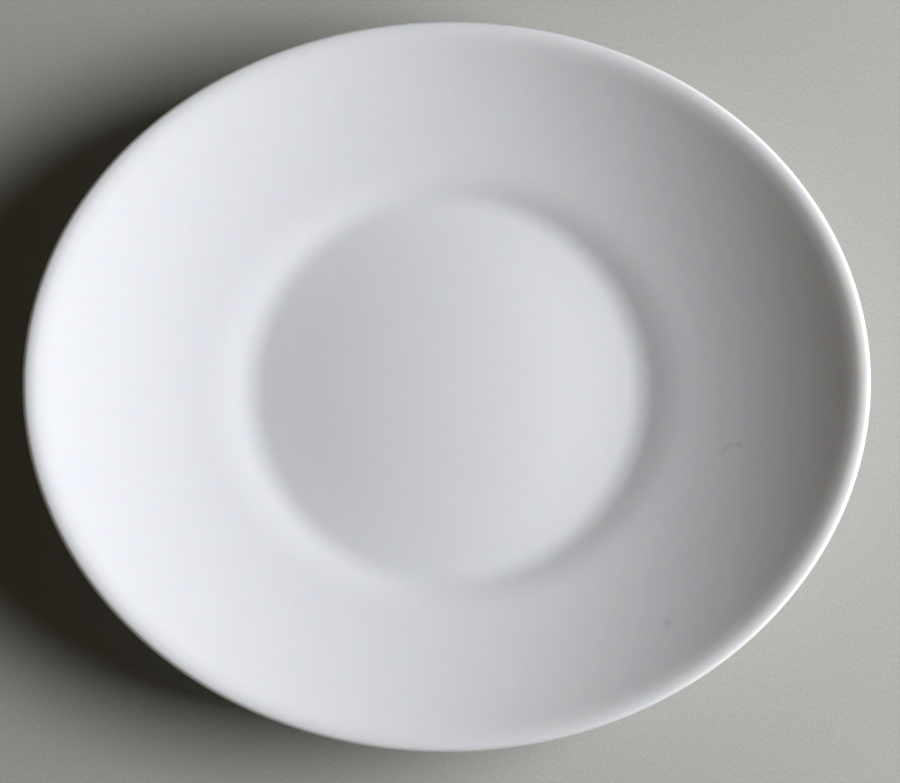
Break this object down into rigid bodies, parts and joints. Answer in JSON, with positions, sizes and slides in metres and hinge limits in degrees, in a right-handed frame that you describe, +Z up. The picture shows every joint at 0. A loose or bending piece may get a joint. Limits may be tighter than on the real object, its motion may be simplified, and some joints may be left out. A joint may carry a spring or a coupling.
{
  "type": "dessert plate",
  "caption": "Oval coupe dessert plate in satin white porcelain with a round sunk well, a bowl that steepens to a rolled lip, which dips at its two short sides, and a foot ring to stand on.",
  "frame": {"origin": "on the table plane, at the middle of the foot ring and below the middle of the round well", "axes": "+X along the plate's longest diameter, +Y across it along the shorter diameter, +Z up out of the well"},
  "size_m": [0.21, 0.1832, 0.0295],
  "materials": {
    "satin_glazed_porcelain": "satin"
  },
  "bodies": {
    "root": {"plate_body": "satin_glazed_porcelain"}
  },
  "joints": []
}
